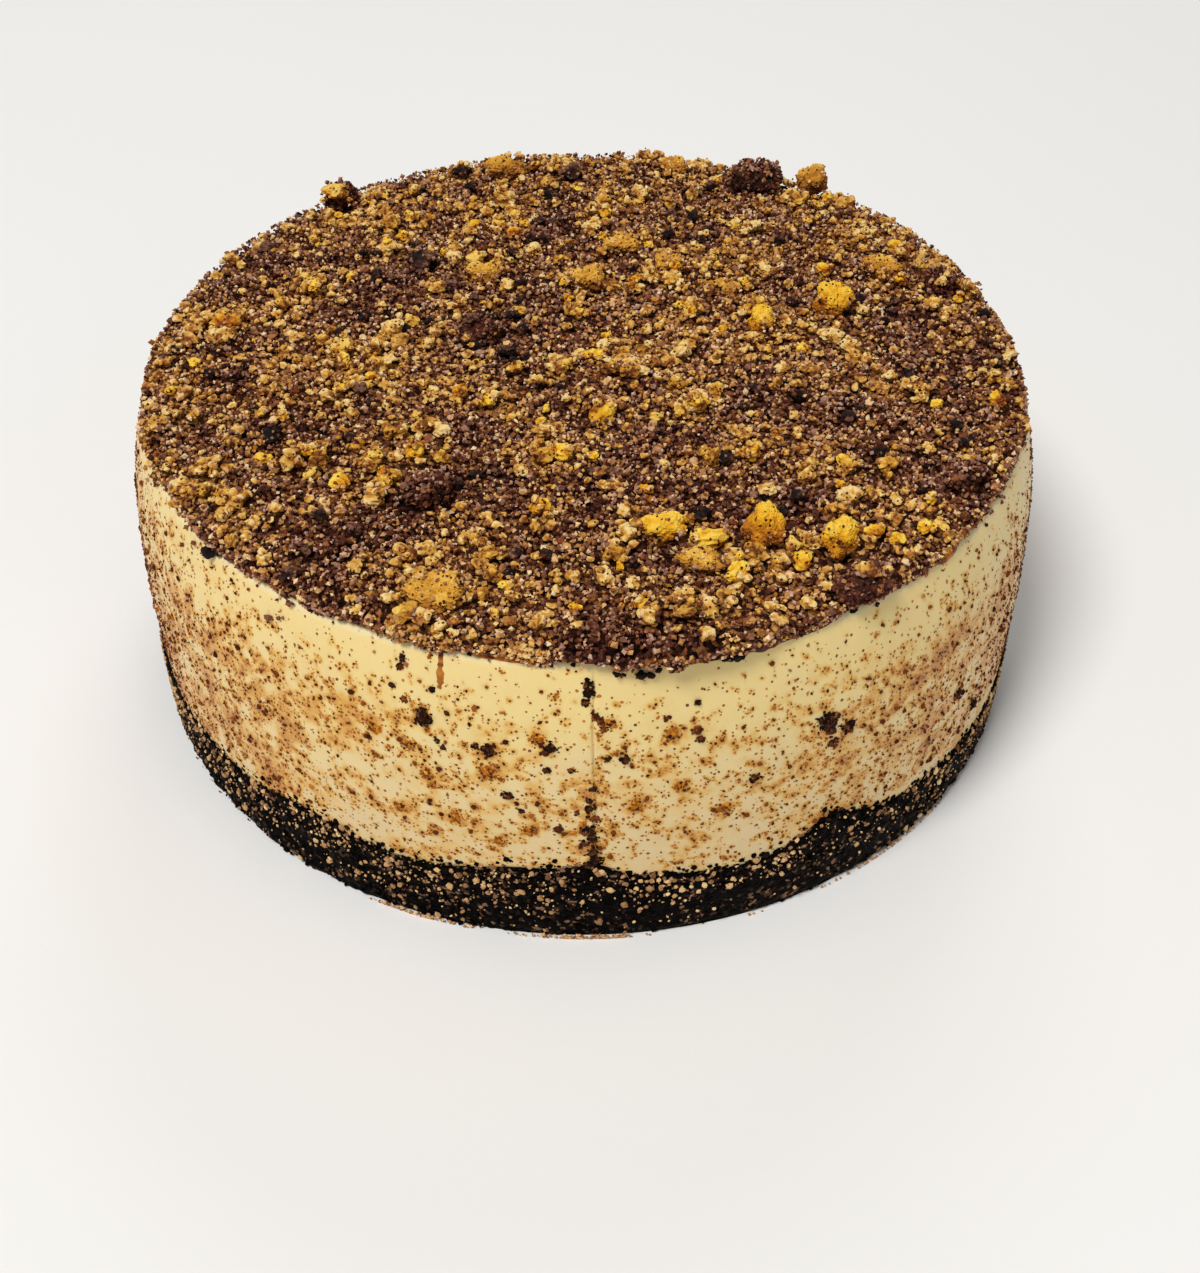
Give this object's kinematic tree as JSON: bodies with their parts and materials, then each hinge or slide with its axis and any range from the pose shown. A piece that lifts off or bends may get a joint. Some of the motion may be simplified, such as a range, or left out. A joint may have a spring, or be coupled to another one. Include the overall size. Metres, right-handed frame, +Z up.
{
  "type": "cheesecake",
  "caption": "Whole round baked cheesecake with a dark pressed crumb base, tall cream filling and a topping of mixed cookie crumbs.",
  "frame": {"origin": "centre of the flat underside of the crumb base, on the surface that the cake stands on", "axes": "+Z up, -Y towards the side with the seam, which the picture shows in front, and +X to the right as seen from there"},
  "size_m": [0.2079, 0.2077, 0.085],
  "materials": {
    "dark_crumb_base": "pressed near-black cookie crumbs, matt",
    "baked_cream": "baked cream cheese, satin",
    "mixed_crumbs": "loose cookie crumbs, dark cocoa and tan, matt",
    "golden_biscuit": "broken golden biscuit, matt",
    "dark_biscuit": "broken cocoa biscuit, matt"
  },
  "bodies": {
    "root": {"crumb_base": "dark_crumb_base", "cream_filling": "baked_cream", "crumb_topping": "mixed_crumbs", "golden_chunk_1": "golden_biscuit", "golden_chunk_2": "golden_biscuit", "golden_chunk_3": "golden_biscuit", "golden_chunk_4": "golden_biscuit", "golden_chunk_5": "golden_biscuit", "golden_chunk_6": "golden_biscuit", "golden_chunk_7": "golden_biscuit", "golden_chunk_8": "golden_biscuit", "golden_chunk_9": "golden_biscuit", "golden_chunk_10": "golden_biscuit", "golden_chunk_11": "golden_biscuit", "golden_chunk_12": "golden_biscuit", "golden_chunk_13": "golden_biscuit", "golden_chunk_14": "golden_biscuit", "golden_chunk_15": "golden_biscuit", "dark_chunk_1": "dark_biscuit", "dark_chunk_2": "dark_biscuit", "dark_chunk_3": "dark_biscuit", "dark_chunk_4": "dark_biscuit", "dark_chunk_5": "dark_biscuit", "dark_chunk_6": "dark_biscuit", "dark_chunk_7": "dark_biscuit"}
  },
  "joints": []
}
